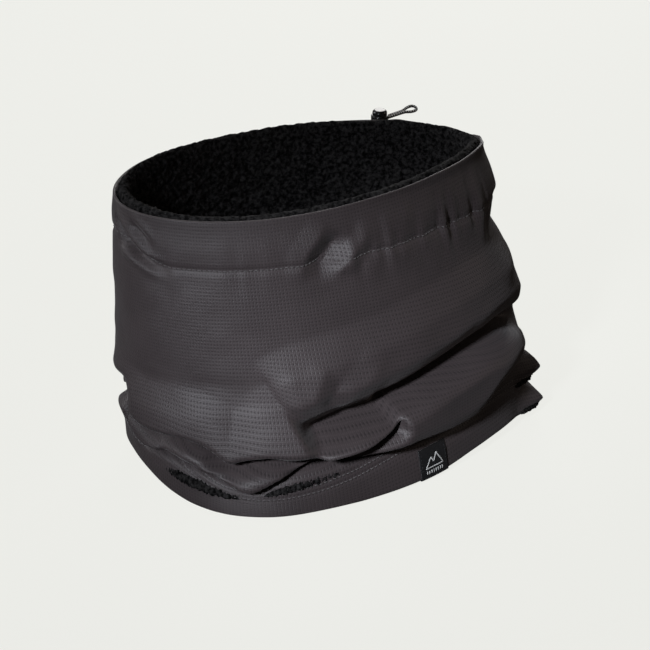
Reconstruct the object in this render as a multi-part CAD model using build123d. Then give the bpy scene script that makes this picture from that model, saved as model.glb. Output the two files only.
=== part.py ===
from build123d import *

# A lined neck gaiter with an elastic drawcord and a spring cord lock. Units are millimetres.
#
# A wide fabric tube stands on its bottom hem, collar up. Its wall is a stack of level ovals that get
# narrower towards the rim and shift a little to the back. The oval's long axis is X, the front is -Y,
# and the wearer's neck passes along Z. The origin is the centre of the tube's box, on the surface that
# the hem rests on. A depth is counted inward from the shell's outer face.

import os
from math import cos, pi, radians, sin, tan

os.makedirs("parts", exist_ok=True)

# The wall's ovals: centre x, centre y, half width, half depth.
HEIGHT = 180.0
WAIST = 85.0
BASE_OVAL = (0.0, -2.0, 138.0, 90.0)
WAIST_OVAL = (-4.0, 9.0, 134.0, 83.0)
RIM_OVAL = (-9.4, 21.1, 123.0, 66.7)

# Fabrics.
SHELL = 0.8  # shell cloth with its seam allowance
FOLD = 4.4  # how far the shell turns in over the rim and under the hem
RIM_TURN = 11.0  # how far the turned-in edge hangs down inside the rim
HEM = 20.0  # height of the turned-up edge inside the hem
LINING_DEPTH = 4.6  # depth of the pile lining's outer face
LINING = 4.4  # pile thickness
LINING_INSET = 1.2  # the lining stops this far short of the rim and the floor

# Stitching.
THREAD = 0.35
THREAD_WIDTH = 0.7
CHANNEL = 30.0  # drawcord channel, from the rim to its row of stitches
HEM_ROWS = (20.0, 24.0)
SEAM_ANGLE = 56.0  # where the tube is closed, 0 at +X and 90 at the back
SEAM_BREAK = 3.0  # the seam's thread stops this far from a row of stitches
SEAM_LIFT = 0.03  # and lies this far off the cloth

# Woven label, folded round the hem.
LABEL_ANGLE = -75.5
LABEL_WIDTH = 22.0
LABEL_FRONT = 18.5
LABEL_BACK = 12.0
LABEL = 0.5
LABEL_GAP = 0.1
TACK_SIZE = (0.6, 9.0, 0.25)
TACK_INSET = 1.4

# Elastic cord.
CORD = 2.0
CORD_DROP = 4.8  # the cord runs this far below the rim
CORD_DEPTH = 2.2
RUN_POINTS = 60
RUN_STOP = 1.8  # the channel run stops this many degrees from the opening on each side
EXIT_ANGLE = 57.5
HEADING = 17.0  # direction of the free loop, from +X towards +Y
STRAND = 1.15  # each strand's distance from the loop's middle line
LOOP_START = -2.6  # where the strands begin, from the wall's face along the heading
# The free loop's route: distance along the heading, and across it. The way back mirrors it.
LOOP_ROUTE = [(LOOP_START, STRAND), (36.0, STRAND), (43.5, 2.3), (48.6, 2.3), (50.0, 0.0)]

# Eyelet in the shell: length, height and how far it stands out; then its opening.
EYELET = (13.8, 6.2, 0.7)
EYELET_HOLE = (10.6, 3.0)
SHELL_HOLE = (12.2, 4.4)

# Cord lock, measured up from the strands.
LOCK_AT = 16.5  # the lock's axis along the heading
BARREL = 11.6
BARREL_BOTTOM = -9.2
BARREL_TOP = 3.45
BARREL_ROUND = 0.5
BORE = 9.9
BORE_FLOOR = -8.2
WINDOW = (5.6, 2.7)
PLUNGER = 9.8
PLUNGER_BOTTOM = -3.7
PLUNGER_TOP = 7.0
PLUNGER_ROUND = 2.0
PLUNGER_WINDOW = (-1.15, 3.25)
SPRING = 6.4
SPRING_WIRE = 0.5
SPRING_TURNS = 3
SPRING_GAP = 0.1


def oval_at(z):
    """The wall's oval at a height, on straight lines between the three given ovals."""
    if z <= WAIST:
        low, high, share = BASE_OVAL, WAIST_OVAL, z / WAIST
    else:
        low, high, share = WAIST_OVAL, RIM_OVAL, (z - WAIST) / (HEIGHT - WAIST)
    return tuple(a * (1 - share) + b * share for a, b in zip(low, high))


def wall_point(angle, z, depth=0.0):
    x, y, half_width, half_depth = oval_at(z)
    a = radians(angle)
    return Vector(x + (half_width - depth) * cos(a), y + (half_depth - depth) * sin(a), z)


def wall_plane(angle, z, depth=0.0):
    """A plane on the wall: x runs round the wall, y up it, and z outward."""
    around = wall_point(angle + 0.1, z, depth) - wall_point(angle - 0.1, z, depth)
    up = wall_point(angle, z + 0.5, depth) - wall_point(angle, z - 0.5, depth)
    return Plane(origin=wall_point(angle, z, depth), x_dir=around, z_dir=around.cross(up))


def section(z, depth):
    x, y, half_width, half_depth = oval_at(z)
    return Wire(Edge.make_ellipse(half_width - depth, half_depth - depth, plane=Plane(origin=(x, y, z))))


def core(depth, low, high):
    """The solid inside the wall at one depth, between two heights."""
    heights = [low, WAIST, high] if low < WAIST < high else [low, high]
    return Solid.make_loft([section(z, depth) for z in heights], ruled=True)


def ring(outside, inside, low, high):
    """A band of the wall between two depths and two heights."""
    return core(outside, low, high) - core(inside, low, high)


def tube(points, diameter):
    """A round tube on straight runs joined by tangent arcs."""
    radii = []
    for before, corner, after in zip(points, points[1:], points[2:]):
        run_in, run_out = corner - before, after - corner
        turn = radians(run_in.get_angle(run_out))
        radii.append(0.45 * min(run_in.length, run_out.length) / tan(turn / 2))
    path = FilletPolyline(*points, radius=radii)
    start = Plane(origin=path @ 0, z_dir=path % 0)
    shape = sweep(start * Circle(diameter / 2), path=path.wire())
    expected = pi * diameter**2 / 4 * path.length
    print(f"  tube of {path.length:.1f}, tightest arc {min(radii):.2f}, volume {shape.volume:.1f} of {expected:.1f}")
    return shape


def save(name, *shapes):
    shape = shapes[0] if len(shapes) == 1 else Compound(list(shapes))
    export_step(shape, f"parts/{name}.step")
    print(f"{name}: volume {shape.volume:.1f}")


# The loop's own plane is level: x along the heading and y across it, from the wall's face.
LOOP_PLANE = Plane(
    origin=wall_point(EXIT_ANGLE, HEIGHT - CORD_DROP),
    x_dir=(cos(radians(HEADING)), sin(radians(HEADING)), 0),
    z_dir=(0, 0, 1),
)
LOCK_PLANE = LOOP_PLANE.offset(0)
LOCK_PLANE.origin = LOOP_PLANE.from_local_coords(Vector(LOCK_AT, 0, 0))


def slot(size, out, into):
    """A slot-shaped prism through the wall where the cord leaves."""
    plane = wall_plane(EXIT_ANGLE, HEIGHT - CORD_DROP)
    plane.origin = plane.origin - plane.z_dir * into
    return plane * extrude(SlotOverall(*size), amount=out + into)


def label_zone(extra=0.0):
    """Everything within the label's width, near the hem."""
    plane = wall_plane(LABEL_ANGLE, 1.0)
    upright = Plane(origin=plane.origin, x_dir=plane.x_dir, z_dir=(0, 0, 1))
    return upright * Box(LABEL_WIDTH + extra, 60, 120)


def outer_shell():
    """The cloth tube, turned in over the rim and under the hem, with openings for cord and label."""
    shape = core(0, 0, HEIGHT)
    shape -= core(SHELL, SHELL, HEIGHT - SHELL)
    shape -= core(FOLD, HEIGHT - SHELL, HEIGHT)
    shape -= core(FOLD, 0, SHELL)
    shape += ring(FOLD - SHELL, FOLD, HEIGHT - RIM_TURN, HEIGHT - SHELL)
    shape += ring(FOLD - SHELL, FOLD, SHELL, HEM)
    notch = 2 * (LABEL + LABEL_GAP)
    shape -= label_zone(2 * LABEL_GAP) & Box(400, 300, notch)
    return shape - slot(SHELL_HOLE, out=3, into=2.4)


def cord_eyelet():
    """A flat ring with a short collar that lines the opening in the shell."""
    length, height, thick = EYELET
    flange = slot((length, height), out=thick, into=-0.05)
    collar = slot((SHELL_HOLE[0] - 0.1, SHELL_HOLE[1] - 0.1), out=thick, into=SHELL)
    return flange + collar - slot(EYELET_HOLE, out=3, into=3)


def thread_row(height):
    """One row of stitches round the outside, and its bobbin thread on the lining's face."""
    low, high = height - THREAD_WIDTH / 2, height + THREAD_WIDTH / 2
    lining_face = LINING_DEPTH + LINING
    return [ring(-THREAD, 0, low, high), ring(lining_face, lining_face + THREAD, low, high)]


def seam_thread(depth, side):
    """The closing seam's thread on one face, in two straight strips; side is 1 on an outward face."""
    stops = [HEM_ROWS[-1], WAIST, HEIGHT - CHANNEL]
    strips = []
    for low, high in zip(stops, stops[1:]):
        start = wall_point(SEAM_ANGLE, low + SEAM_BREAK, depth)
        end = wall_point(SEAM_ANGLE, high - SEAM_BREAK, depth)
        outward = wall_plane(SEAM_ANGLE, (low + high) / 2, depth).z_dir * side
        plane = Plane(origin=(start + end) * 0.5, x_dir=end - start, z_dir=outward)
        strips.append(plane * Pos(0, 0, SEAM_LIFT + THREAD / 2) * Box((end - start).length, THREAD_WIDTH, THREAD))
    return strips


def hem_label():
    """A woven strip down the outside of the hem, under it, and up inside it."""
    outside = -LABEL - LABEL_GAP
    inside = LINING_DEPTH + LINING + LABEL_GAP
    strip = core(outside, 0, LABEL_FRONT) - core(-LABEL_GAP, LABEL, LABEL_FRONT + 1)
    back = ring(inside, inside + LABEL, LABEL, LABEL_BACK)
    strip -= core(inside + LABEL, -1, LABEL + 1)
    return (strip & label_zone()) + (back & label_zone())


def label_tacks():
    """The two short rows of stitches that hold the label's sides."""
    width, height, thick = TACK_SIZE
    plane = wall_plane(LABEL_ANGLE, LABEL_FRONT / 2, -LABEL - LABEL_GAP)
    tacks = []
    for side in (-1, 1):
        across = side * (LABEL_WIDTH / 2 - TACK_INSET)
        tacks.append(plane * Pos(across, 0, thick / 2 + 0.3) * Box(width, height, thick))
    return tacks


def channel_run():
    """The cord's hidden part, round the tube from one side of the opening to the other."""
    first, last = EXIT_ANGLE + RUN_STOP, EXIT_ANGLE + 360 - RUN_STOP
    points = []
    for i in range(RUN_POINTS):
        angle = first + (last - first) * i / (RUN_POINTS - 1)
        points.append(wall_point(angle, HEIGHT - CORD_DROP, CORD_DEPTH))
    return tube(points, CORD)


def free_loop():
    """The cord's free part: out through the lock, round the tip and back."""
    back = [(x, -y) for x, y in reversed(LOOP_ROUTE) if y]
    points = [LOOP_PLANE.from_local_coords(Vector(x, y, 0)) for x, y in LOOP_ROUTE + back]
    return tube(points, CORD)


def lock_barrel():
    height = BARREL_TOP - BARREL_BOTTOM
    shape = Pos(0, 0, BARREL_BOTTOM + height / 2) * Cylinder(BARREL / 2, height)
    shape = fillet(shape.edges(), BARREL_ROUND)
    shape -= Pos(0, 0, BORE_FLOOR) * extrude(Circle(BORE / 2), amount=20)
    shape -= Rot(0, 90, 0) * Pos(0, 0, -10) * extrude(RectangleRounded(WINDOW[1], WINDOW[0], 1.2), amount=20)
    return LOCK_PLANE * shape


def lock_plunger():
    height = PLUNGER_TOP - PLUNGER_BOTTOM
    shape = Pos(0, 0, PLUNGER_BOTTOM + height / 2) * Cylinder(PLUNGER / 2, height)
    shape = fillet(shape.edges().sort_by(Axis.Z)[-1], PLUNGER_ROUND)
    low, high = PLUNGER_WINDOW
    shape -= Pos(0, 0, (low + high) / 2) * Box(20, WINDOW[0] - 0.2, high - low)
    return LOCK_PLANE * shape


def lock_spring():
    low = BORE_FLOOR + SPRING_GAP + SPRING_WIRE / 2
    height = PLUNGER_BOTTOM - SPRING_GAP - SPRING_WIRE / 2 - low
    path = Pos(0, 0, low) * Helix(height / SPRING_TURNS, height, SPRING / 2)
    start = Plane(origin=path @ 0, z_dir=path % 0)
    return LOCK_PLANE * sweep(start * Circle(SPRING_WIRE / 2), path=Wire(path), is_frenet=True)


save("outer_shell", outer_shell())
save("fleece_lining", ring(LINING_DEPTH, LINING_DEPTH + LINING, LINING_INSET, HEIGHT - LINING_INSET))
save("hem_label", hem_label())
save("hem_label_tacks", *label_tacks())
save("channel_topstitch", *thread_row(HEIGHT - CHANNEL))
save("hem_topstitch", *[row for height in HEM_ROWS for row in thread_row(height)])
save("back_seam_thread", *seam_thread(0.0, 1))
save("lining_seam_thread", *seam_thread(LINING_DEPTH + LINING, -1))
save("cord_eyelet", cord_eyelet())
save("drawcord_channel_run", channel_run())
save("drawcord_loop", free_loop())
save("lock_barrel", lock_barrel())
save("lock_plunger", lock_plunger())
save("lock_spring", lock_spring())
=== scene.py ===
import bpy
import numpy as np
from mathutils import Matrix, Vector


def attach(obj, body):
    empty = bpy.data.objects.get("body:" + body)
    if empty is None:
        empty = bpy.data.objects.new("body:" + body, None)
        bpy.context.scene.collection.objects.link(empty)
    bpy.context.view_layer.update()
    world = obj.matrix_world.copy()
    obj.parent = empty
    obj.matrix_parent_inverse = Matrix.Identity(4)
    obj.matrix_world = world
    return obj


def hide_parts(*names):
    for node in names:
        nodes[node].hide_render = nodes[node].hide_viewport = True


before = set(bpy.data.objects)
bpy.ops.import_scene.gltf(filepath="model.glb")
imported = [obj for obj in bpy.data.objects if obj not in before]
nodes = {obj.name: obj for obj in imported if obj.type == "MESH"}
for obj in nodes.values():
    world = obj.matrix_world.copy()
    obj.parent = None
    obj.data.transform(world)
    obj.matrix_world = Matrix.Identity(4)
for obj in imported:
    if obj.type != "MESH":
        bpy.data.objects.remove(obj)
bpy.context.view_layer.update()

MM = 0.001

# ------------------------------------------------------------------ the wall, in millimetres, as in part.py
HEIGHT = 180.0
WAIST = 85.0
BASE_OVAL = np.array((0.0, -2.0, 138.0, 90.0))
WAIST_OVAL = np.array((-4.0, 9.0, 134.0, 83.0))
RIM_OVAL = np.array((-9.4, 21.1, 123.0, 66.7))
MM_PER_DEGREE = 2.0
HEM_ROWS = (20.0, 24.0)
SEAM_ANGLE = 56.0
SEAM_ENDS = (28, 146)
LABEL_ANGLE = -75.5
EXIT_ANGLE = 57.5
CORD_LEVEL = 175.2


def oval_at(z):
    """Centre x, centre y, half width and half depth of the wall at each height."""
    z = np.asarray(z, float)[..., None]
    low = BASE_OVAL + (WAIST_OVAL - BASE_OVAL) * z / WAIST
    high = WAIST_OVAL + (RIM_OVAL - WAIST_OVAL) * (z - WAIST) / (HEIGHT - WAIST)
    return np.where(z <= WAIST, low, high)


def smooth_steps(x):
    x = np.clip(x, 0, 1)
    return x * x * (3 - 2 * x)


def ring_curve(keys, softness=5.0):
    """A smooth function of the angle round the tube, through given values at a few angles."""
    angles = np.array(sorted(keys), float)
    values = np.array([keys[a] for a in sorted(keys)], float)
    fine = np.arange(-180, 180, 0.5)
    table = np.interp(fine, angles, values, period=360)
    spread = np.exp(-0.5 * (np.minimum(np.arange(720), 720 - np.arange(720)) * 0.5 / softness) ** 2)
    table = np.real(np.fft.ifft(np.fft.fft(table) * np.fft.fft(spread / spread.sum())))
    return lambda a: np.interp(a, fine, table, period=360)


def chance(i, j, seed):
    """A fixed pseudo-random number from -1 to 1 for each cell of a grid."""
    n = (i * 374761393 + j * 668265263 + seed * 2147483647) & 0xFFFFFFFF
    n = ((n ^ (n >> 13)) * 1274126177) & 0xFFFFFFFF
    return ((n ^ (n >> 16)) & 0xFFFF) / 32767.5 - 1


def round_noise(angle, v, cells, seed):
    """Value noise round the tube, with that many cells, that joins up at the back of the circle."""
    u = (angle + 180) / 360 * cells
    iu, iv = np.floor(u).astype(int), np.floor(v).astype(int)
    fu, fv = smooth_steps(u - iu), smooth_steps(v - iv)
    a, b = iu % cells, (iu + 1) % cells
    low = chance(a, iv, seed) * (1 - fu) + chance(b, iv, seed) * fu
    high = chance(a, iv + 1, seed) * (1 - fu) + chance(b, iv + 1, seed) * fu
    return low * (1 - fv) + high * fv


# ------------------------------------------------------------------ camera, light and floor
CAMERA_AT = Vector((-0.45175, -1.00664, 0.66184))
CAMERA_AIM = Vector((-0.00287, 0.00163, 0.075))
LENS = 107.2
AMBIENT = 0.016
KEY_AT = (-1.08, -0.92, 0.93)
KEY_AIM = (-0.025, -0.075, 0.085)
KEY_SPREAD = 13.5  # degrees
KEY_POWER = 120
FRONT_POWER = 0.42
SIDE_POWER = 0.8
TOP_POWER = 0.5
BACK_POWER = 9.0
FLOOR_GLOW = 0.815


def aim(thing, target):
    """Turns a camera or a light, from where it stands, to a point."""
    thing.rotation_euler = (Vector(target) - thing.location).to_track_quat("-Z", "Y").to_euler()


def add_camera():
    data = bpy.data.cameras.new("camera")
    data.lens, data.sensor_width = LENS, 36.0
    camera = bpy.data.objects.new("camera", data)
    bpy.context.collection.objects.link(camera)
    camera.location = CAMERA_AT
    aim(camera, CAMERA_AIM)
    bpy.context.scene.camera = camera


def add_light(name, place, size, power, colour):
    data = bpy.data.lights.new(name, "AREA")
    data.size, data.energy, data.color = size, power, colour
    light = bpy.data.objects.new(name, data)
    bpy.context.collection.objects.link(light)
    light.location = place
    aim(light, (0, 0, 0.08))


def add_stage():
    """A pale paper floor that glows evenly, a key light from the front left, and soft lights round it."""
    world = bpy.data.worlds.new("studio")
    world.use_nodes = True
    background = world.node_tree.nodes["Background"]
    background.inputs["Color"].default_value = (1.05, 0.97, 0.90, 1)
    background.inputs["Strength"].default_value = AMBIENT
    scene = bpy.context.scene
    scene.world = world
    scene.view_settings.view_transform = "Standard"
    data = bpy.data.lights.new("key", "SPOT")
    data.energy, data.color, data.shadow_soft_size = KEY_POWER, (0.94, 0.985, 1.06), 0.11
    data.spot_size, data.spot_blend = np.radians(KEY_SPREAD), 1.0
    key = bpy.data.objects.new("key", data)
    bpy.context.collection.objects.link(key)
    key.location = KEY_AT
    aim(key, KEY_AIM)
    add_light("front", (-0.9, -1.1, 1.3), 1.1, FRONT_POWER, (0.98, 0.99, 1.02))
    add_light("side", (1.25, -0.45, 0.55), 0.4, SIDE_POWER, (1.15, 0.97, 0.82))
    add_light("back_right", (0.75, 1.25, 0.75), 0.8, BACK_POWER, (1.0, 0.98, 0.96))
    add_light("back_left", (-1.05, 0.95, 0.75), 0.8, BACK_POWER * 0.8, (0.97, 0.98, 1.0))
    add_light("top", (-0.25, 0.2, 1.5), 0.9, TOP_POWER, (1.0, 0.99, 0.98))
    mesh = bpy.data.meshes.new("floor")
    mesh.from_pydata([(-6, -6, 0), (6, -6, 0), (6, 6, 0), (-6, 6, 0)], [], [(0, 1, 2, 3)])
    floor = bpy.data.objects.new("floor", mesh)
    bpy.context.collection.objects.link(floor)
    floor.location.z = -0.0005
    floor.visible_diffuse = floor.visible_glossy = False
    material = bpy.data.materials.new("floor_paper")
    material.use_nodes = True
    shader = material.node_tree.nodes["Principled BSDF"]
    shader.inputs["Base Color"].default_value = (0.06, 0.06, 0.058, 1)
    shader.inputs["Emission Color"].default_value = (0.995, 1.0, 0.955, 1)
    shader.inputs["Emission Strength"].default_value = FLOOR_GLOW
    shader.inputs["Roughness"].default_value = 0.9
    shader.inputs["Specular IOR Level"].default_value = 0.1
    mesh.materials.append(material)


add_camera()
add_stage()


# ------------------------------------------------------------------ materials
def new_material(name, colour, rough, sheen=0.0, specular=0.5, metal=0.0, coat=0.0):
    """A material, and a function that adds a node to it with its inputs set or linked."""
    material = bpy.data.materials.new(name)
    material.use_nodes = True
    tree = material.node_tree
    shader = tree.nodes["Principled BSDF"]
    shader.inputs["Base Color"].default_value = (*colour, 1)
    shader.inputs["Roughness"].default_value = rough
    shader.inputs["Sheen Weight"].default_value = sheen
    shader.inputs["Sheen Roughness"].default_value = 0.45
    shader.inputs["Specular IOR Level"].default_value = specular
    shader.inputs["Metallic"].default_value = metal
    shader.inputs["Coat Weight"].default_value = coat

    def put(socket, value):
        if isinstance(value, bpy.types.NodeSocket):
            tree.links.new(value, socket)
        else:
            socket.default_value = value

    def add(kind, *values, out=0, **settings):
        node = tree.nodes.new("ShaderNode" + kind)
        named = settings.pop("inputs", {})
        for key, value in settings.items():
            setattr(node, key, value)
        for i, value in enumerate(values):
            if value is not None:
                put(node.inputs[i], value)
        for key, value in named.items():
            put(node.inputs[key], value)
        return node.outputs[out]

    def to_shader(**sockets):
        for key, value in sockets.items():
            put(shader.inputs[key.replace("_", " ")], value)

    return material, add, to_shader


def scaled_colours(add, factor, dark, light):
    """A colour between two, by a factor from 0 to 1."""
    return add("Mix", data_type="RGBA", out=2, inputs={0: factor, 6: (*dark, 1), 7: (*light, 1)})


def noise_value(add, place, scale, detail=2.0):
    return add("TexNoise", inputs={"Vector": place, "Scale": scale, "Detail": detail})


def cloth_material():
    """Tight synthetic weave with a fine rib every third yarn, in millimetres along the cloth."""
    material, add, to_shader = new_material("ribbed_cloth", (0.04, 0.036, 0.038), 0.56, sheen=0.17,
                                            specular=0.42)
    uv = add("UVMap", uv_map="cloth")
    split = add("SeparateXYZ", uv).node
    place = add("TexCoord", out=3)
    wobble = noise_value(add, place, 60.0)
    shift = add("Math", wobble, 0.5, operation="MULTIPLY")
    across = add("Math", split.outputs[0], shift, operation="ADD")
    down = add("Math", split.outputs[1], shift, operation="ADD")

    def wave(value, length):
        turn = add("Math", value, 6.28318 / length, operation="MULTIPLY")
        return add("Math", add("Math", turn, operation="SINE"), 0.5, 0.5, operation="MULTIPLY_ADD")

    rib = wave(down, RIB)
    dots = add("Math", add("Math", wave(across, DOT), rib, operation="MULTIPLY"), 1.6, operation="POWER")
    yarn = add("Math", wave(across, YARN), wave(down, RIB / 3), operation="MULTIPLY")
    ground = add("Math", yarn, 0.35, 0.6, operation="MULTIPLY_ADD")
    relief = add("Math", dots, -0.7, ground, operation="MULTIPLY_ADD")
    patches = noise_value(add, place, 24.0, 4.0)
    grain = noise_value(add, place, 900.0, 1.0)
    cloudy = add("Math", patches, 0.35, operation="MULTIPLY")
    tone = add("Math", relief, 0.6, cloudy, operation="MULTIPLY_ADD")
    tone = add("Math", grain, 0.25, tone, operation="MULTIPLY_ADD")
    colour = scaled_colours(add, add("Math", tone, -0.2, operation="ADD"), CLOTH_DARK, CLOTH_LIGHT)
    rough = add("Math", relief, -0.12, 0.59, operation="MULTIPLY_ADD")
    bump = add("Bump", inputs={"Strength": 0.6, "Distance": 0.0003, "Height": relief})
    to_shader(Base_Color=colour, Roughness=rough, Normal=bump)
    return material


def pile_material():
    """Black curly pile, its colour lighter on the bump's raised tips and near black low down: painted
    highlight and painted shade.
    """
    material, add, to_shader = new_material("curly_pile", (0.006, 0.006, 0.0065), 0.95, sheen=0.02,
                                            specular=0.08)
    place = add("TexCoord", out=3)
    curls = noise_value(add, place, 420.0, 3.0)
    fibres = noise_value(add, place, 1900.0, 2.0)
    height = add("Math", fibres, 0.45, curls, operation="MULTIPLY_ADD")
    # painted highlight and painted shade: the colour follows the bump's height, light on the tips and near
    # black between them
    tone = add("Math", height, 3.4, -2.05, operation="MULTIPLY_ADD", use_clamp=True)
    colour = scaled_colours(add, tone, (0.0007, 0.0007, 0.0007), (0.036, 0.034, 0.034))
    bump = add("Bump", inputs={"Strength": 1.0, "Distance": 0.0012, "Height": height})
    to_shader(Base_Color=colour, Normal=bump)
    return material


def thread_material(name, colour):
    """Twisted thread: small lighter and darker flecks and a fine bump."""
    material, add, to_shader = new_material(name, colour, 0.6, sheen=0.15)
    place = add("TexCoord", out=3)
    fibre = noise_value(add, place, 2400.0, 2.0)
    dark = tuple(c * 0.62 for c in colour)
    light = tuple(min(1, c * 1.3) for c in colour)
    bump = add("Bump", inputs={"Strength": 0.5, "Distance": 0.0002, "Height": fibre})
    to_shader(Base_Color=scaled_colours(add, fibre, dark, light), Normal=bump)
    return material


def label_material():
    """Black satin woven label, with fine cross ribs, from its own lengths in millimetres."""
    material, add, to_shader = new_material("woven_label", (0.008, 0.008, 0.009), 0.5, sheen=0.1,
                                            specular=0.4)
    uv = add("UVMap", uv_map="cloth")
    split = add("SeparateXYZ", uv).node
    place = add("TexCoord", out=3)

    def wave(value, length):
        return add("Math", add("Math", value, 6.28318 / length, operation="MULTIPLY"), operation="SINE")

    weave = add("Math", wave(split.outputs[0], 0.5), wave(split.outputs[1], 0.32), operation="ADD")
    fibre = noise_value(add, place, 1500.0, 2.0)
    tone = add("Math", weave, 0.18, fibre, operation="MULTIPLY_ADD")
    bump = add("Bump", inputs={"Strength": 0.4, "Distance": 0.0002, "Height": tone})
    colour = scaled_colours(add, tone, (0.003, 0.003, 0.0035), (0.017, 0.017, 0.019))
    to_shader(Base_Color=colour, Normal=bump)
    return material


def cord_material():
    """Black elastic cord, its braid flecked with pale threads in slanting rows."""
    material, add, to_shader = new_material("flecked_cord", (0.01, 0.01, 0.01), 0.55, sheen=0.1)
    uv = add("UVMap", uv_map="cloth")
    split = add("SeparateXYZ", uv).node
    along, around = split.outputs[0], split.outputs[1]
    rows = add("Math", around, FLECK_ROWS, operation="MULTIPLY")
    row = add("Math", rows, operation="FLOOR")
    pitches = add("Math", along, 1 / FLECK_PITCH, operation="MULTIPLY")
    shifted = add("Math", row, 0.5, pitches, operation="MULTIPLY_ADD")
    slant = add("Math", rows, 0.35, shifted, operation="MULTIPLY_ADD")
    near_x = add("Math", add("Math", slant, operation="FRACT"), 0.5, operation="SUBTRACT")
    near_y = add("Math", add("Math", rows, operation="FRACT"), 0.5, operation="SUBTRACT")
    size_x = add("Math", add("Math", near_x, operation="ABSOLUTE"), 0.24, operation="LESS_THAN")
    size_y = add("Math", add("Math", near_y, operation="ABSOLUTE"), 0.33, operation="LESS_THAN")
    fleck = add("Math", size_x, size_y, operation="MULTIPLY")
    place = add("TexCoord", out=3)
    fibre = noise_value(add, place, 2600.0, 2.0)
    height = add("Math", fleck, 0.5, fibre, operation="MULTIPLY_ADD")
    colour = scaled_colours(add, fleck, (0.006, 0.006, 0.006), (0.86, 0.85, 0.82))
    bump = add("Bump", inputs={"Strength": 0.6, "Distance": 0.0002, "Height": height})
    to_shader(Base_Color=colour, Normal=bump)
    return material


def hard_material(name, colour, rough, metal=0.0, coat=0.0):
    """Moulded plastic or metal with a very fine uneven surface."""
    material, add, to_shader = new_material(name, colour, rough, metal=metal, coat=coat)
    place = add("TexCoord", out=3)
    cloudy = noise_value(add, place, 500.0, 3.0)
    fine = noise_value(add, place, 3500.0, 1.0)
    bump = add("Bump", inputs={"Strength": 0.18, "Distance": 0.0001, "Height": fine})
    dark, light = tuple(c * 0.8 for c in colour), tuple(c * 1.25 for c in colour)
    roughness = add("Math", cloudy, 0.16, rough - 0.08, operation="MULTIPLY_ADD")
    to_shader(Base_Color=scaled_colours(add, cloudy, dark, light), Roughness=roughness, Normal=bump)
    return material


DOT = 1.9  # a whole number of dots and yarns fits round the tube
YARN = 0.95
RIB = 2.1
CLOTH_DARK, CLOTH_LIGHT = (0.025, 0.0198, 0.0205), (0.094, 0.0745, 0.077)
FLECK_ROWS = 4.0
FLECK_PITCH = 2.1

CLOTH = cloth_material()
PILE = pile_material()
GREY_THREAD = thread_material("grey_thread", (0.135, 0.125, 0.125))
DARK_THREAD = thread_material("dark_thread", (0.016, 0.015, 0.016))
WHITE_THREAD = thread_material("white_thread", (0.72, 0.72, 0.70))
LABEL = label_material()
CORD = cord_material()
BLACK_PLASTIC = hard_material("moulded_black_plastic", (0.007, 0.007, 0.0075), 0.26, coat=0.3)
EYELET_METAL = hard_material("dark_eyelet_metal", (0.12, 0.12, 0.125), 0.34, metal=1.0)
STEEL = hard_material("spring_steel_wire", (0.45, 0.45, 0.46), 0.3, metal=1.0)
HIDDEN_CORD = thread_material("elastic_cord_braid", (0.012, 0.012, 0.012))

for name, material in {"lock_barrel": BLACK_PLASTIC, "lock_plunger": BLACK_PLASTIC, "lock_spring": STEEL,
                       "cord_eyelet": EYELET_METAL, "drawcord_channel_run": HIDDEN_CORD}.items():
    node = nodes[name]
    if not node.material_slots:
        node.data.materials.append(material)
    for place in node.material_slots:
        place.material = material


# ------------------------------------------------------------------ pieces
def new_piece(name, points, faces, material, body="gaiter", uvs=None):
    """A smooth mesh piece that rides on a body; points are in millimetres, uvs one pair for each corner."""
    mesh = bpy.data.meshes.new(name)
    faces = faces if isinstance(faces, list) else faces.tolist()
    mesh.from_pydata((np.asarray(points) * MM).tolist(), [], faces)
    if uvs is not None:
        layer = mesh.uv_layers.new(name="cloth")
        layer.data.foreach_set("uv", np.asarray(uvs, np.float32).ravel())
    mesh.materials.append(material)
    mesh.polygons.foreach_set("use_smooth", [True] * len(mesh.polygons))
    piece = bpy.data.objects.new(name, mesh)
    bpy.context.collection.objects.link(piece)
    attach(piece, body)
    return piece


def grid_faces(rows, columns, around=True, over=False):
    """Faces of a grid; its columns close on themselves, and its rows too if asked."""
    i = np.arange(rows if over else rows - 1)[:, None]
    j = np.arange(columns if around else columns - 1)[None, :]
    ni, nj = (i + 1) % rows, (j + 1) % columns
    corners = (i * columns + j, i * columns + nj, ni * columns + nj, ni * columns + j)
    return np.stack(np.broadcast_arrays(*corners), -1).reshape(-1, 4)


def grid_uvs(rows_at, columns_at):
    """Corner coordinates to go with grid_faces; each list has one value more than there are faces."""
    v, u = np.asarray(rows_at, float), np.asarray(columns_at, float)
    low, high = v[:-1, None] + 0 * u[None, :-1], v[1:, None] + 0 * u[None, :-1]
    left, right = u[None, :-1] + 0 * v[:-1, None], u[None, 1:] + 0 * v[:-1, None]
    return np.stack([np.stack([left, low], -1), np.stack([right, low], -1),
                     np.stack([right, high], -1), np.stack([left, high], -1)], 2).reshape(-1, 2)


# ------------------------------------------------------------------ the drawcord's free loop
HEADING = np.radians(17.0)
STRAND = 1.15
LOOP_START = -2.6
CORD_SIZE = 2.0
CORD_SIDES = 12
LOOP_ROUTE = [(LOOP_START, STRAND, 0.0), (34.0, STRAND, 0.0), (38.5, STRAND, 0.0), (44.0, 2.2, 1.1),
              (48.6, 2.2, 0.9), (50.0, 0.0, 0.0)]


def level_wall_point(angle, z):
    a = np.radians(angle)
    oval = oval_at(z)
    return np.array((oval[0] + oval[2] * np.cos(a), oval[1] + oval[3] * np.sin(a), z))


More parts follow.
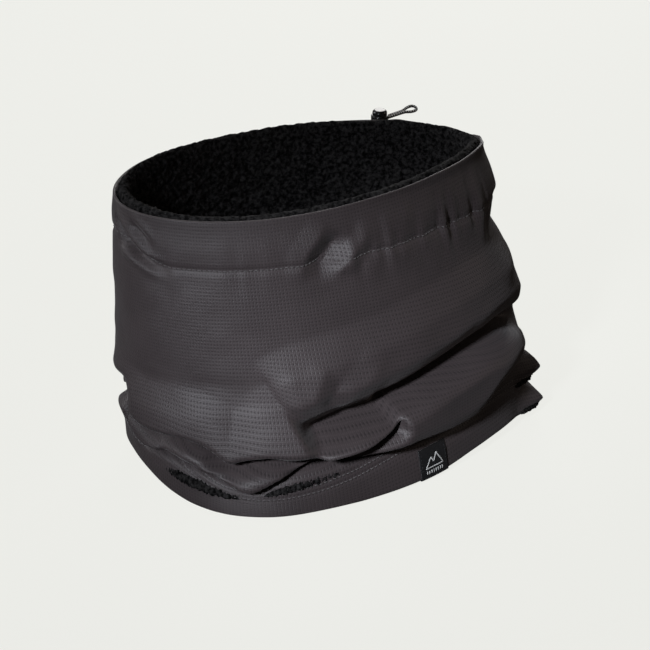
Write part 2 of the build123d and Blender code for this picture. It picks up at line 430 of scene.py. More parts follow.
def drawcord_loop():
    origin = level_wall_point(EXIT_ANGLE, CORD_LEVEL)
    along = np.array((np.cos(HEADING), np.sin(HEADING), 0))
    across = np.array((-np.sin(HEADING), np.cos(HEADING), 0))
    route = LOOP_ROUTE + [(x, -y, -z) for x, y, z in reversed(LOOP_ROUTE) if y]
    points = [(origin + x * along + y * across + (0, 0, z)) * MM for x, y, z in route]
    curve = bpy.data.curves.new("loop_line", "CURVE")
    curve.dimensions = "3D"
    curve.resolution_u = 24
    spline = curve.splines.new("NURBS")
    spline.points.add(len(points) - 1)
    for point, place in zip(spline.points, points):
        point.co = (*place, 1)
    spline.order_u = 3
    spline.use_endpoint_u = True
    holder = bpy.data.objects.new("loop_line", curve)
    line_mesh = bpy.data.meshes.new_from_object(holder)
    line = np.array([v.co for v in line_mesh.vertices]) / MM
    bpy.data.objects.remove(holder)
    bpy.data.meshes.remove(line_mesh)

    ahead = np.gradient(line, axis=0)
    ahead /= np.linalg.norm(ahead, axis=1, keepdims=True)
    up = np.array((0, 0, 1.0))
    side = np.cross(up, ahead)
    lengths = np.concatenate(([0], np.cumsum(np.linalg.norm(np.diff(line, axis=0), axis=1))))
    turn = np.linspace(0, 2 * np.pi, CORD_SIDES, endpoint=False)
    braid = CORD_SIZE / 2 * (1 + 0.025 * np.cos(4 * turn[None, :] + lengths[:, None] * 3))
    ring = np.cos(turn)[None, :, None] * side[:, None] + np.sin(turn)[None, :, None] * up
    tube = line[:, None] + braid[..., None] * ring
    last = (len(line) - 1) * CORD_SIDES
    ends = [list(range(CORD_SIDES))[::-1], list(range(last, last + CORD_SIDES))]
    faces = grid_faces(len(line), CORD_SIDES).tolist() + ends
    uvs = grid_uvs(lengths, np.arange(CORD_SIDES + 1) / CORD_SIDES)[:, ::-1].tolist()
    uvs += [(0, 0)] * (2 * CORD_SIDES)
    piece = new_piece("drawcord_free_loop", tube.reshape(-1, 3), faces, CORD, uvs=uvs)
    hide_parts("drawcord_loop")
    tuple(points[0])


drawcord_loop()


# ------------------------------------------------------------------ folds of the cloth
def smooth_line(knots, values, fine):
    """Catmull-Rom interpolation."""
    values = np.asarray(values, float)
    padded = np.concatenate(([2 * values[0] - values[1]], values, [2 * values[-1] - values[-2]]))
    i = np.clip(fine.astype(int), 0, len(knots) - 2)
    t = fine - i
    a, b, c, d = padded[i], padded[i + 1], padded[i + 2], padded[i + 3]
    return 0.5 * (2 * b + (c - a) * t + (2 * a - 5 * b + 4 * c - d) * t**2 + (3 * b - a - 3 * c + d) * t**3)


def path_distance(angle, height, path):
    """Signed distance above a path of (angle, height) points, and how far along it, from 0 to 1."""
    points = np.array(path, float)
    middle = points[:, 0].mean()
    x = ((angle - middle + 180) % 360 - 180) * MM_PER_DEGREE
    px = (points[:, 0] - middle) * MM_PER_DEGREE
    knots = np.arange(len(points))
    fine = np.linspace(0, len(points) - 1, 8 * (len(points) - 1) + 1)
    sx, sy = smooth_line(knots, px, fine), smooth_line(knots, points[:, 1], fine)
    lengths = np.concatenate(([0], np.cumsum(np.hypot(np.diff(sx), np.diff(sy)))))
    best = np.full(angle.shape, 1e9)
    signed = np.full(angle.shape, 1e9)
    along = np.zeros(angle.shape)
    near_path = (x > px.min() - 60) & (x < px.max() + 60)
    x, y = x[near_path], height[near_path]
    b, s, l = best[near_path], signed[near_path], along[near_path]
    for i in range(len(fine) - 1):
        dx, dy = sx[i + 1] - sx[i], sy[i + 1] - sy[i]
        size = dx * dx + dy * dy
        t = np.clip(((x - sx[i]) * dx + (y - sy[i]) * dy) / size, 0, 1)
        ox, oy = x - sx[i] - t * dx, y - sy[i] - t * dy
        d = np.hypot(ox, oy)
        side = np.where(oy * dx - ox * dy < 0, -1, 1)
        near = d < b
        b = np.where(near, d, b)
        s = np.where(near, d * side, s)
        l = np.where(near, lengths[i] + t * np.sqrt(size), l)
    best[near_path], signed[near_path], along[near_path] = b, s, l
    return signed, along / lengths[-1]


def soft_table(x, xs, ys):
    """A table read with smooth joins."""
    fine = np.arange(xs[0] - 12, xs[-1] + 12, 0.25)
    y = np.interp(fine, xs, ys)
    kernel = np.exp(-0.5 * (np.arange(-12, 13) * 0.25 / 0.9) ** 2)
    y = np.convolve(np.pad(y, 12, mode="edge"), kernel / kernel.sum(), mode="valid")
    return np.interp(x, fine, y)


# Cross profiles: distance above the fold's line, how far out the cloth goes, how far up it moves.
HANG = ((-30, -17, -9, -5, -1.5, 1, 4, 10, 20, 36, 56),
        (0, 0, -2, -13, -16, -3, 7, 8.5, 6, 2.5, 0),
        (0, 0, 0.5, 3, 3.5, -1.5, -5.5, -4, -1, 0, 0))
TUCK = ((-26, -14, -8, -3.5, 0, 3, 7, 14, 30),
        (0, 2, 0, -11, -13, -2, 6, 4.5, 0),
        (0, 0, 0, 1.5, 0.5, -3.5, -4.5, -2, 0))
VALLEY = ((-34, -22, -13, -8, -4, 0, 4, 9, 15, 22, 34, 50),
          (0, 3, 6, 4, -9, -20, -22, -14, -2, 5, 5, 0),
          (0, 0, -0.5, -1, -2, -4.5, -7.5, -9, -9, -6, -2, 0))
SOFT = ((-30, -15, -6, 0, 6, 15, 30),
        (0, 1.5, -2.5, -5, -2.5, 1.5, 0),
        (0, 0, 0, 0, 0, 0, 0))

# The big roll that hangs over the hem, all the way round: its lowest edge, how far it bulges, and how
# deep the cloth tucks in under it.
HANG_EDGE = ring_curve({-180: 62, -177: 52, -174: 36, -169: 24, -158: 26, -150: 24, -142: 21, -134: 16,
                        -128: 9, -122: 16, -116: 21, -108: 24, -97: 25, -86: 28, -69: 26, -61: 26, -56: 30,
                        -50: 42, -37: 46, -21: 45, 0: 40, 14: 35, 30: 29, 45: 34, 60: 27, 78: 31,
                        95: 22, 112: 29, 130: 37, 148: 33, 165: 45, 172: 54}, 2.0)
HANG_BULGE = ring_curve({-180: 0.05, -165: 0.2, -150: 0.5, -128: 1.1, -110: 0.95, -80: 0.9, -60: 0.9,
                         -45: 0.75, -30: 0.25, -15: 0.1, 20: 0.4, 40: 0.25, 60: 0.65, 80: 0.35, 100: 0.75,
                         120: 0.35, 142: 0.6, 160: 0.1, 170: 0.05}, 4)
HANG_DEPTH = ring_curve({-180: 0.4, -165: 0.9, -128: 1.1, -108: 1.15, -80: 0.9, -50: 1.1, -34: 0.8,
                         -20: 0.5, 20: 0.6, 60: 0.6, 120: 0.6, 165: 0.5}, 4)
HANG_DROP = 7.5  # the lowest edge is this far under the profile's zero

# Folds with two ends: the line, the profile, the force, the stretch scale, and how soon each end starts.
FOLDS = [
    # the valley over the roll on the front left, and on to the right under the second one
    ([(-182, 60), (-178, 57), (-172, 53), (-166, 49), (-160, 47), (-152, 47), (-146, 47), (-140, 44),
      (-136, 39), (-132, 36), (-127, 38), (-121, 40), (-115, 40), (-109, 41), (-103, 42), (-96, 44),
      (-90, 48), (-84, 53)],
     TUCK, 1.15, 1.0, 0.14, 0.04),
    # the long upper valley that climbs to the right
    ([(-112, 50), (-108, 54), (-102, 57), (-94, 60), (-85, 63), (-76, 67), (-67, 71), (-52, 76), (-37, 77),
      (-24, 71), (-10, 60)], VALLEY, 1.1, 1.0, 0.05, 0.25),
    # two loose folds across the back
    ([(14, 74), (34, 66), (58, 60), (84, 66), (108, 78)], TUCK, 0.55, 1.1, 0.3, 0.35),
    ([(70, 50), (96, 47), (124, 54), (152, 66), (176, 84)], TUCK, 0.5, 1.2, 0.3, 0.35),
    ([(118, 96), (140, 92), (164, 104)], SOFT, 0.9, 1.1, 0.4, 0.4),
    # the notch over the lobe at the left end
    ([(-208, 57), (-194, 57), (-180, 60), (-166, 64)], SOFT, 1.9, 0.9, 0.3, 0.3),
    # a small pocket under the left valley
    ([(-160, 36), (-153, 35), (-146, 33), (-140, 30)], SOFT, 1.0, 0.34, 0.25, 0.3),
    # soft crest where the smooth front starts to curl under
    ([(-178, 66), (-160, 64), (-144, 64), (-130, 64), (-118, 67), (-108, 78), (-98, 91), (-86, 98)],
     SOFT, -0.25, 1.1, 0.2, 0.3),
    # the hollow between two finger-like ridges under it
    ([(-99, 88), (-102, 80), (-105, 70)], SOFT, 0.7, 0.6, 0.35, 0.35),
    ([(-86, 96), (-93, 84), (-100, 74)], SOFT, -0.4, 0.7, 0.4, 0.4),
    # the right side bellies out high up and narrows under it
    ([(-46, 80), (-26, 84), (0, 84), (25, 80)], SOFT, -0.8, 1.2, 0.4, 0.4),
    ([(-44, 128), (-26, 132), (0, 132), (25, 128)], SOFT, 1.35, 1.5, 0.4, 0.4),
    # soft dent through the channel
    ([(-92, 168), (-96, 158), (-100, 148), (-101, 136)], SOFT, 1.3, 0.7, 0.35, 0.4),
    ([(-84, 166), (-88, 158), (-92, 148), (-92, 140)], SOFT, -0.3, 0.5, 0.35, 0.4),
    # pulls at the left end of the channel
    ([(-181, 172), (-174, 165), (-166, 158), (-158, 151)], SOFT, 0.95, 0.34, 0.25, 0.4),
    ([(-178, 160), (-168, 156), (-156, 150), (-146, 146)], SOFT, 0.8, 0.3, 0.3, 0.4),
    ([(-168, 172), (-160, 166), (-153, 158)], SOFT, 0.6, 0.32, 0.4, 0.4),
]

# Height of the rim's and the hem's edges above the level ovals.
RIM_LIFT = ring_curve({-180: 0, -160: -1.5, -140: -2, -115: -2, -94: 0, -82: 2, -67: 4, -56: 6, -30: 7,
                       -10: 2, 10: -2.5, 28: -2.5, 45: -0.5, 70: 0, 100: 0, 138: 2, 160: 1}, 4)
HEM_LIFT = ring_curve({-190: 18, -178: 18, -167: 12, -157: 5, -148: 1, -135: 0, -100: 0, -87: 1, -78: 2,
                       -71: 3, -60: 6, -50: 7, -38: 7, -30: 5, -22: 3, -10: 5, 10: 6, 40: 3, 90: 0,
                       140: 4}, 2.5)
# The hem's stitches sag under the roll here.
HEM_SAG = ring_curve({-178: 4, -160: 5, -150: 3, -142: -3, -132: -9, -122: -10, -110: -8, -98: -3, -90: 1,
                      -82: 5, -60: 6, -40: 6, -20: 0}, 3)
# How far the hem and the body stand out from the level ovals.
HEM_OUT = ring_curve({-180: 0, -165: 0, -150: 2, -135: 9, -120: 10, -108: 5, -95: 1.5, -80: -0.5,
                      -65: -3, -50: -3, -38: -1, -28: 0, 10: 0, 40: 0, 120: 0}, 4)
BODY_OUT = ring_curve({-180: 2, -165: 3, -150: 1.5, -120: 2, -90: 0, -60: -1, -30: 1, -10: 1, 10: 1,
                       40: 1, 90: 0, 150: -1}, 8)
# The right end of the hem and of the roll are pulled out into two cloth corners, one above the other.
CORNER_ANGLE = -22
CORNER = ((-8, 0, 4, 10, 15, 21, 26, 33, 38, 46, 54),
          (0, 1, 6, 14, 10, 0, 7, 14, 11, 3, 0))
STITCH_LINE = ring_curve({-180: 163, -174: 161, -166: 157, -158: 153, -150: 150, -60: 150, -30: 148, 0: 148,
                          60: 150, 120: 150, 165: 155}, 3)


def fold_field(angle, height):
    """How far out of the ovals the cloth stands, and its real height, from angles and cloth heights."""
    angle, height = (np.array(x, float) for x in np.broadcast_arrays(angle, height))
    out = np.zeros(angle.shape)
    rise = np.zeros(angle.shape)
    low = smooth_steps(1 - height / 60)
    high = smooth_steps((height - 120) / 60)
    middle = smooth_steps(height / 50) * smooth_steps((HEIGHT - height) / 50)
    level = height + HEM_LIFT(angle) * low + RIM_LIFT(angle) * high
    level += HEM_SAG(angle) * soft_table(height, (0, 17, 26, 90), (0, 1, 1, 0))
    out += HEM_OUT(angle) * low + BODY_OUT(angle) * middle

    edge = HANG_EDGE(angle)
    bulge, tuck = HANG_BULGE(angle), HANG_DEPTH(angle)
    n = level - edge - HANG_DROP * np.maximum(bulge, tuck)
    room = np.clip((edge - HEM_LIFT(angle)) / 24, 0.35, 1)
    n = np.where(n < 0, n / room, n)
    shape = soft_table(n, HANG[0], HANG[1])
    out += np.where(shape > 0, bulge, tuck) * shape
    rise += np.maximum(bulge, tuck) * soft_table(n, HANG[0], HANG[2])
    for path, profile, strength, scale, start, end in FOLDS:
        n, t = path_distance(angle, level, path)
        taper = smooth_steps(t / start) * smooth_steps((1 - t) / end)
        out += strength * taper * soft_table(n / scale, profile[0], profile[1])
        rise += strength * taper * soft_table(n / scale, profile[0], profile[2])
    side = angle - CORNER_ANGLE
    point = np.clip(np.where(side < 0, 1 + side / 12, 1 - side / 13), 0, 1) ** 1.4
    out += point * soft_table(level, CORNER[0], CORNER[1])

    # gathers that the drawcord makes, strongest at the stitches and on the right
    gather = smooth_steps((-20 - angle) / 30) * smooth_steps((angle + 100) / 30)
    gather = np.maximum(gather, 0.6 * smooth_steps((angle + 30) / 40) * smooth_steps((170 - angle) / 40))
    stitches = height - STITCH_LINE(angle)
    near_stitch = np.exp(-((stitches / 15) ** 2)) + 0.35 * np.exp(-(((height - 168) / 9) ** 2))
    ripples = round_noise(angle, height / 60, 84, 3) + 0.6 * round_noise(angle, height / 30, 150, 4)
    out += (0.3 + 1.5 * gather) * near_stitch * ripples * smooth_steps((HEIGHT - 2 - height) / 14)
    pleat = smooth_steps((angle + 100) / 14) * smooth_steps((-28 - angle) / 14)
    out += 1.3 * pleat * np.exp(-((stitches / 8) ** 2)) * round_noise(angle, height / 26, 118, 13)
    # scallops of the gathered rim at the back right
    scallop = smooth_steps((angle + 18) / 14) * smooth_steps((52 - angle) / 12)
    rise += 1.7 * scallop * high**2 * (0.5 + 0.5 * round_noise(angle, 0 * angle, 64, 21))
    # the dent of the stitches, and the channel puffed up over the cord
    out -= 1.0 * np.exp(-((stitches / 2.0) ** 2))
    out += 0.8 * np.exp(-(((stitches - 12) / 8) ** 2))
    # rows of stitches in the hem, and the back seam
    for row in HEM_ROWS:
        out -= 0.45 * np.exp(-(((height - row) / 1.3) ** 2))
    beside = (angle - SEAM_ANGLE) * MM_PER_DEGREE
    out += smooth_steps((height - 24) / 6) * smooth_steps((156 - height) / 6) * (
        0.7 * np.exp(-(((beside - 4) / 3.5) ** 2)) - 0.8 * np.exp(-((beside / 1.5) ** 2)))
    # slow waves over the body, and small creases
    out += 1.5 * middle * round_noise(angle, height / 55, 10, 7)
    out += 0.32 * middle * round_noise(angle, height / 11, 45, 9)
    # flat round the eyelet
    calm = 1 - np.exp(-(np.hypot((angle - EXIT_ANGLE) * MM_PER_DEGREE / 13,
                                 (height - CORD_LEVEL) / 9) ** 4))
    return out * calm, level + rise


def place(angle, z, out):
    """Points at a real height, out from the level ovals, in millimetres."""
    angle, z, out = np.broadcast_arrays(angle, z, out)
    a = np.radians(angle)
    oval = oval_at(np.clip(z, 0, HEIGHT))
    normal = np.stack([np.cos(a) / oval[..., 2], np.sin(a) / oval[..., 3]], -1)
    normal /= np.linalg.norm(normal, axis=-1, keepdims=True)
    x = oval[..., 0] + oval[..., 2] * np.cos(a) + out * normal[..., 0]
    y = oval[..., 1] + oval[..., 3] * np.sin(a) + out * normal[..., 1]
    return np.stack([x, y, np.maximum(z, 0.3)], -1)


def wall(angle, height, depth=0.0):
    """Points of the folded cloth, or of a layer that deep in it."""
    out, z = fold_field(angle, height)
    return place(angle, z, out - depth)


def blur(table, rows, columns):
    """Blurs a table of height by angle, whose angles wrap round."""
    i, j = np.arange(table.shape[0]), np.arange(table.shape[1])
    gap = np.abs(j[:, None] - j)
    gap = np.minimum(gap, len(j) - gap)
    down = np.exp(-0.5 * ((i[:, None] - i) / rows) ** 2)
    across = np.exp(-0.5 * (gap / columns) ** 2)
    return (down / down.sum(1, keepdims=True)) @ table @ (across / across.sum(0))


# ------------------------------------------------------------------ the shell
COLUMNS = 560
ANGLES = np.arange(COLUMNS) * 360 / COLUMNS - 180
CLOTH_ROUND = 684  # millimetres of weave round the tube
AROUND = np.arange(COLUMNS + 1) * CLOTH_ROUND / COLUMNS
SHELL_HOLE = (12.2, 4.4)
TURNED_IN = 4.4  # how deep the turned edges lie behind the face
SHELL_BACK = 4.9  # the shell's own back lies this far outside the lining's inner depth

OUTSIDE = np.concatenate([[1.2, 2.2], np.arange(3.4, 178.2, 1.4), [178.6, 179.3]])
shell_out, shell_z = fold_field(ANGLES[None, :], OUTSIDE[:, None])

# How deep the inner face of the lining lies at each level, so that every fold clears it.
LEVELS = np.arange(0, 192, 2.0)
tightest = np.stack([np.where(np.abs(shell_z - level) < 7, shell_out, 20).min(0) for level in LEVELS])
tightest = np.minimum(tightest, 4)
clear = np.maximum(9.2, 5.4 - tightest)
for wanted in (8, 4):  # widen before smoothing, so that smoothing leaves the room that the folds need
    clear = np.maximum(clear, blur(clear, wanted / 2, wanted))
clear = blur(clear, 2.0, 4.0)
hem_zone = smooth_steps(1 - (LEVELS - 6) / 24)[:, None]
clear = clear * (1 - hem_zone) + np.maximum(9.2 - HEM_OUT(ANGLES)[None, :], 5.4 - tightest) * hem_zone


def cleared(z, table=clear):
    """The lining's depth at heights given for each column."""
    at = np.clip(z / 2.0, 0, len(LEVELS) - 1.001)
    i = at.astype(int)
    column = np.arange(COLUMNS)
    return table[i, column] * (1 - (at - i)) + table[i + 1, column] * (at - i)


def gaiter_shell():
    hem_turn = [(20, TURNED_IN), (14, TURNED_IN), (8, TURNED_IN), (3, 4.2), (1.0, 3.4), (0.3, 2.2),
                (0.2, 1.0)]
    rim_turn = [(179.7, 0.3), (180.0, 0.9), (179.7, 1.5), (178.9, 2.2), (177.6, 3.4), (173, TURNED_IN),
                (169, TURNED_IN)]
    rows = [wall(ANGLES, h, d) for h, d in hem_turn]
    rows += list(place(ANGLES[None, :], shell_z, shell_out))
    rows += [wall(ANGLES, h, d) for h, d in rim_turn]
    back_low = HEM_LIFT(ANGLES) + 26
    back_high = RIM_LIFT(ANGLES) + 163
    for t in np.linspace(1, 0, 18):
        z = back_low + t * (back_high - back_low)
        rows.append(place(ANGLES, z, -(cleared(z) - SHELL_BACK)))
    heights = [-h for h, d in hem_turn[:4]] + [-1, 0, 0.6] + list(OUTSIDE)
    heights += [h + d / 2 for h, d in rim_turn]
    heights += list(190 + np.arange(18) * 8.0) + [340]
    faces = grid_faces(len(rows), COLUMNS, over=True)
    uvs = grid_uvs(heights, AROUND)
    middle = np.concatenate([h * np.ones(COLUMNS) for h in np.array(heights[:-1]) + 0.7])
    angle = np.tile(ANGLES + 180 / COLUMNS, len(rows))
    face_row = np.repeat(np.arange(len(rows)), COLUMNS)
    in_outer_face = (face_row > 6) & (face_row < 6 + len(OUTSIDE))
    away = np.hypot((angle - EXIT_ANGLE) * 1.9 / (SHELL_HOLE[0] / 2),
                    (middle - CORD_LEVEL) / (SHELL_HOLE[1] / 2))
    kept = ~((away < 1) & in_outer_face)
    uvs = uvs.reshape(-1, 4, 2)[kept].reshape(-1, 2)
    piece = new_piece("gaiter_shell", np.concatenate(rows), faces[kept], CLOTH, uvs=uvs)
    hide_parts("outer_shell")


gaiter_shell()


# ------------------------------------------------------------------ the pile lining
NUB = 3.1  # distance between the rows of the pile's knots
NUBS_ROUND = 190
NUB_REACH = 0.72  # a knot's radius, as a share of that distance
OVER_RIM, OVER_RIM_UP = 3.8, 3.9  # half the depth and the height of the pile's turn at the rim


def curls(angle, z):
    """Domes of the pile's knots, in hexagon-like rows, each a little out of place."""
    u = (angle + 180) / 360 * NUBS_ROUND
    v = z / NUB
    row = np.floor(v).astype(int)
    best = np.full(np.broadcast(u, v).shape, 9.0)
    size = np.ones(best.shape)
    for dj in (-1, 0, 1):
        j = row + dj
        shift = 0.5 * (j % 2)
        column = np.floor(u - shift).astype(int)
        for di in (-1, 0, 1):
            i = (column + di) % NUBS_ROUND
            x = column + di + shift + 0.5 + 0.3 * chance(i, j, 31)
            y = j + 0.5 + 0.3 * chance(i, j, 32)
            d = np.hypot(u - x, v - y) * (1 + 0.15 * chance(i, j, 33))
            size = np.where(d < best, 1 + 0.35 * chance(i, j, 34), size)
            best = np.minimum(best, d)
    return size * np.sqrt(np.clip(1 - (best / NUB_REACH) ** 2, 0, 1))


# How far the pile stands over the rim.
PROUD = ring_curve({-180: 2.6, -165: 2.4, -152: 1.2, -140: 0, -30: 0, -12: 1.0, 5: 2.4, 30: 2.4, 47: 1.6,
                    57: 0.6, 67: 1.6, 80: 2.4, 160: 2.6}, 3)


def gaiter_lining():
    bottom, top = HEM_LIFT(ANGLES) + 2.0, RIM_LIFT(ANGLES) + 178.6
    rows, heights = [], []

    def add_row(t, extra, lift=0.0, nubs=1.0, over=0.0):
        z = bottom + t * (top - bottom) + lift
        depth = cleared(z) - extra
        if nubs:
            knots = curls(ANGLES, z + over)
            z = z + (PROUD(ANGLES) * (0.45 + 0.75 * knots) + 0.5) * max(lift, 0) / OVER_RIM_UP
            depth = depth + nubs * (2.5 * knots - 1.0
                                    + 0.35 * round_noise(ANGLES, (z + over) / 1.7, 400, 41))
            z = z + nubs * 0.4 * round_noise(ANGLES, (z + over) / 2.5, 280, 42)
        rows.append(place(ANGLES, z, -depth))
        heights.append(len(heights) * 1.5)

    for t in np.linspace(0, 0.32, 20):
        add_row(t, 0.0)
    for t in np.linspace(0.32, 0.985, 96)[1:]:
        add_row(t, 0.0)
    for turn in np.linspace(0.18, 2.75, 11):
        add_row(0.985, OVER_RIM - OVER_RIM * np.cos(turn), OVER_RIM_UP * np.sin(turn), 0.75, 6 * turn)
    for t in np.linspace(0.94, 0.0, 24):
        add_row(t, 4.5, 0, 0)
    faces = grid_faces(len(rows), COLUMNS, over=True)
    uvs = grid_uvs(heights + [heights[-1] + 2], AROUND)
    uvs = uvs.reshape(-1, 4, 2)[:, ::-1].reshape(-1, 2)
    piece = new_piece("gaiter_lining", np.concatenate(rows), faces[:, ::-1], PILE, uvs=uvs)
    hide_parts("fleece_lining")


gaiter_lining()


def pile_and_shade_strip(name, path, width, knots, depth):
    """A separate curly strip of black pile, used both for pile in a fold and for painted shade laid on the
    outer cloth; its path is (angle, real height, out) points.
    """
    path = np.array(path, float)
    knots_at = np.arange(len(path))
    fine = np.linspace(0, len(path) - 1, knots)
    line = np.stack([smooth_line(knots_at, path[:, k], fine) for k in range(3)], -1)
    sides = 14
    turn = np.arange(sides) * 2 * np.pi / sides
    taper = np.sqrt(np.sin(np.pi * np.linspace(0.02, 0.98, knots)))[:, None]
    i, j = np.arange(knots)[:, None], np.arange(sides)[None, :]
    lump = 1 + 0.24 * chance(i // 2, j // 2 + 0 * i, 61) + 0.14 * chance(i, j, 62)
    z = line[:, 1:2] + width * taper * lump * np.sin(turn)[None, :]
    out = line[:, 2:3] + depth * taper * lump * np.cos(turn)[None, :]
    points = place(line[:, 0:1] + 0 * z, z, out).reshape(-1, 3)
    faces = grid_faces(knots, sides).tolist()
    faces += [list(range(sides))[::-1], [int((knots - 1) * sides + k) for k in range(sides)]]
    piece = new_piece(name, points, faces, PILE)


# Painted shade: these two black pile strips lie on the outer cloth under the roll, where there is only
# shade.
pile_and_shade_strip("painted_shade_under_roll_left",
           [(-161, 20, -2.6), (-154, 18, -1), (-146, 16, 2.5), (-138, 13, 4.8), (-130, 10.5, 6)],
           3.1, 130, 3.4)
pile_and_shade_strip("painted_shade_under_roll_right",
           [(-124, 12.5, 6), (-118, 15.5, 4.8), (-110, 18.5, 1.8), (-102, 21, -1.2), (-94, 23, -3.5)],
           2.8, 130, 3.2)
pile_and_shade_strip("pile_at_hem_corner", [(-33, 8, 1), (-28, 7.5, 4), (-24, 7.5, 7.5), (-21, 8.5, 9.5)],
           1.9, 60, 2.1)
pile_and_shade_strip("pile_at_roll_corner", [(-33, 27, 0), (-27, 27, 2.5), (-22, 26, 4.5), (-17, 26, 3)],
           2.4, 60, 2.4)


# ------------------------------------------------------------------ stitches
def thread_mesh(starts, ends, surface, radius, arch):
    """Short arched threads from start to end on a surface(angle, height, depth)."""
    t = np.array((0, 0.12, 0.3, 0.5, 0.7, 0.88, 1.0))
    at = starts[:, None] * (1 - t[None, :, None]) + ends[:, None] * t[None, :, None]
    sink = 0.35 - arch * np.sqrt(np.sin(np.pi * np.clip(t, 0.001, 0.999)))
    depth = np.broadcast_to(sink, at.shape[:2])
    line = surface(at[..., 0], at[..., 1], depth)
    outward = surface(at[..., 0], at[..., 1], depth - 1.0) - line
    outward /= np.linalg.norm(outward, axis=-1, keepdims=True)
    ahead = np.gradient(line, axis=1)
    ahead /= np.linalg.norm(ahead, axis=-1, keepdims=True)
    side = np.cross(ahead, outward)
    side /= np.linalg.norm(side, axis=-1, keepdims=True)
    up = np.cross(side, ahead)
    turn = np.arange(6) * np.pi / 3
    width = radius * np.array((0.55, 0.9, 1, 1, 1, 0.9, 0.55))[None, :, None, None]
    ring = (np.cos(turn)[None, None, :, None] * side[:, :, None]
            + np.sin(turn)[None, None, :, None] * up[:, :, None])
    points = line[:, :, None] + width * ring
    n, m = len(starts), len(t)
    faces = []
    grid = grid_faces(m, 6)
    for k in range(n):
        faces += (grid + k * m * 6).tolist()
        faces.append([k * m * 6 + i for i in range(6)][::-1])
        faces.append([(k + 1) * m * 6 - 6 + i for i in range(6)])
    return points.reshape(-1, 3), faces


def outer_face(angle, height, depth):
    return wall(angle, height, depth)


def inner_face(angle, height, depth):
    """The pile side; depth counts from the pile's middle towards the shell."""
    columns = np.round((angle + 180) / 360 * COLUMNS).astype(int) % COLUMNS
    at = np.clip(height / 2.0, 0, len(LEVELS) - 1.001)
    i = at.astype(int)
    inner = clear[i, columns] * (1 - (at - i)) + clear[i + 1, columns] * (at - i)
    return place(angle, height, -(inner - 1.6) + depth)


def join_parts(parts):
    points, faces, first = [], [], 0
    for p, f in parts:
        points.append(p)
        faces += [[k + first for k in face] for face in f]
        first += len(p)
    return np.concatenate(points), faces


def row_round(height, surface, pitch=3.1, length=2.35):
    """A row of stitches all the way round, at a cloth height that may vary with the angle."""
    fine = np.linspace(-180, 180, 1441)
    level = height(fine) if callable(height) else np.full(fine.shape, height)
    line = surface(fine, level, np.zeros(fine.shape))
    far = np.concatenate(([0], np.cumsum(np.linalg.norm(np.diff(line, axis=0), axis=1))))
    count = int(far[-1] / pitch)
    begin = np.arange(count) * far[-1] / count
    begin = begin + 0.12 * chance(np.arange(count), np.arange(count) * 0 + 5, 51)
    first, last = np.interp(begin, far, fine), np.interp(begin + length, far, fine)
    wander = 0.12 * chance(np.arange(count), np.arange(count) * 0 + 6, 52)
    read = height if callable(height) else (lambda a: np.full(np.shape(a), float(height)))
    starts = np.stack([first, read(first) + wander], -1)
    ends = np.stack([last, read(last) + wander], -1)
    return thread_mesh(starts, ends, surface, 0.3, 0.62)


def column_of(angle, low, high, surface, pitch=3.3, length=2.5):
    at = np.arange(low, high - length, pitch)
    starts = np.stack([np.full(at.shape, angle), at], -1)
    ends = np.stack([np.full(at.shape, angle), at + length], -1)
    return thread_mesh(starts, ends, surface, 0.28, 0.6)


def add_threads(name, parts, material, node):
    points, faces = join_parts(parts)
    piece = new_piece(name, points, faces, material)
    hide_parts(node)


add_threads("channel_stitches", [row_round(STITCH_LINE, outer_face), row_round(150.0, inner_face)],
            GREY_THREAD, "channel_topstitch")
add_threads("hem_stitches",
            [row_round(h, outer_face) for h in HEM_ROWS] + [row_round(h, inner_face) for h in HEM_ROWS],
            GREY_THREAD, "hem_topstitch")
add_threads("back_seam_stitches", [column_of(SEAM_ANGLE, *SEAM_ENDS, outer_face)],
            DARK_THREAD, "back_seam_thread")
add_threads("lining_seam_stitches", [column_of(SEAM_ANGLE, *SEAM_ENDS, inner_face)],
            DARK_THREAD, "lining_seam_thread")


# ------------------------------------------------------------------ the label
LABEL_WIDTH = 22.0
LABEL_FRONT = 15.5  # in cloth height: the hem's sag makes it stand about 20 mm
LABEL_BACK = 12.0


def label_surface(across, height, depth):
    """Points on the label: millimetres from its middle, and the cloth height."""
    return wall(LABEL_ANGLE + np.asarray(across, float) / LABEL_SCALE, height, depth)


two = level_wall_point(LABEL_ANGLE - 1, 9.0) - level_wall_point(LABEL_ANGLE + 1, 9.0)
LABEL_SCALE = float(np.linalg.norm(two)) / 2  # millimetres of hem for each degree there


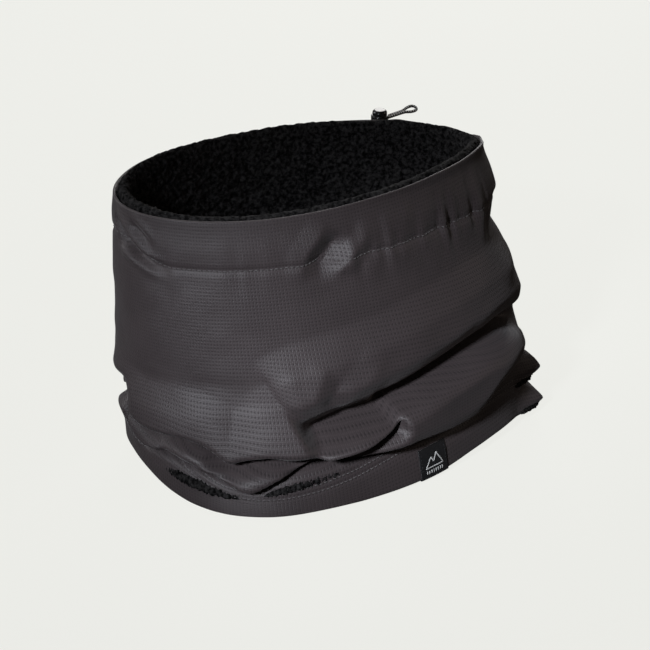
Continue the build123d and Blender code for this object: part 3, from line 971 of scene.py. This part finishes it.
def hem_label():
    across = np.linspace(-LABEL_WIDTH / 2, LABEL_WIDTH / 2, 34)
    front = [(h, -0.55) for h in np.linspace(LABEL_FRONT, 2.0, 24)]
    under = [(1.0, -0.6), (0.2, -0.3), (-0.35, 0.8), (-0.5, 2.2), (-0.3, 3.6), (0.6, 4.7), (2.0, 5.05)]
    behind = [(h, 5.1) for h in np.linspace(4.0, LABEL_BACK, 8)]
    path = front + under + behind
    outer = [label_surface(across, h, d) for h, d in path]
    inner_path = ([(h, -0.15) for h, d in front]
                  + [(1.2, -0.15), (0.5, 0.1), (0.1, 1.0), (0.05, 2.2), (0.15, 3.4), (0.9, 4.4), (2.2, 4.6)]
                  + [(h, 4.65) for h, d in behind])
    inner = [label_surface(across, h, d) for h, d in inner_path][::-1]
    rows = outer + inner
    faces = grid_faces(len(rows), 34, around=False, over=True).tolist()
    n = len(rows)
    for i in range(n // 2 - 1):  # the two long edges
        j = n - 1 - i
        faces.append([i * 34, (i + 1) * 34, (j - 1) * 34, j * 34])
        faces.append([j * 34 + 33, (j - 1) * 34 + 33, (i + 1) * 34 + 33, i * 34 + 33])
    flat = grid_uvs(np.arange(n + 1) * 0.72, across)
    uvs = np.concatenate([flat, np.zeros((4 * 2 * (n // 2 - 1), 2))])
    piece = new_piece("woven_hem_label", np.concatenate(rows), faces, LABEL, uvs=uvs)
    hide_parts("hem_label")


def strip(start, end, width):
    """A flat woven line on the label, from (across, height) to another."""
    start, end = np.array(start, float), np.array(end, float)
    count = max(2, int(np.hypot(*(end - start)) / 0.7) + 1)
    t = np.linspace(0, 1, count)[:, None]
    line = start + (end - start) * t
    side = np.array((-(end - start)[1], (end - start)[0])) / np.hypot(*(end - start)) * width / 2
    rims = [line - side, line + side, line + side, line - side]
    depths = [-0.72, -0.72, -0.5, -0.5]
    corners = np.stack([label_surface(r[:, 0], r[:, 1], np.full(count, d))
                        for r, d in zip(rims, depths)], 1)
    faces = grid_faces(count, 4).tolist() + [[3, 2, 1, 0],
                                             [count * 4 - 4, count * 4 - 3, count * 4 - 2, count * 4 - 1]]
    return corners.reshape(-1, 3), faces


def label_mark():
    """A plain outline of two hills over a row of short bars."""
    hills = [(-6.5, 5.8), (-2.4, 10.4), (-0.4, 8.0), (2.2, 11.8), (6.8, 5.8)]
    parts = [strip(a, b, 0.75) for a, b in zip(hills, hills[1:])]
    parts.append(strip((-6.9, 5.4), (7.2, 5.4), 0.6))
    for x in np.arange(-6.2, 6.9, 1.75):
        parts.append(strip((x, 2.4), (x, 4.0), 0.8))
    points, faces = join_parts(parts)
    piece = new_piece("label_woven_mark", points, faces, WHITE_THREAD)


def label_tacks():
    parts = []
    for side in (-1, 1):
        x = side * (LABEL_WIDTH / 2 - 1.4)
        for h in np.arange(4.0, 12.6, 1.9):
            start = np.array([[LABEL_ANGLE + x / LABEL_SCALE, h]])
            end = np.array([[LABEL_ANGLE + x / LABEL_SCALE, h + 1.5]])
            parts.append(thread_mesh(start, end, lambda a, h, d: wall(a, h, d - 0.55), 0.2, 0.5))
    add_threads("label_tack_stitches", parts, DARK_THREAD, "hem_label_tacks")


hem_label()
label_mark()
label_tacks()
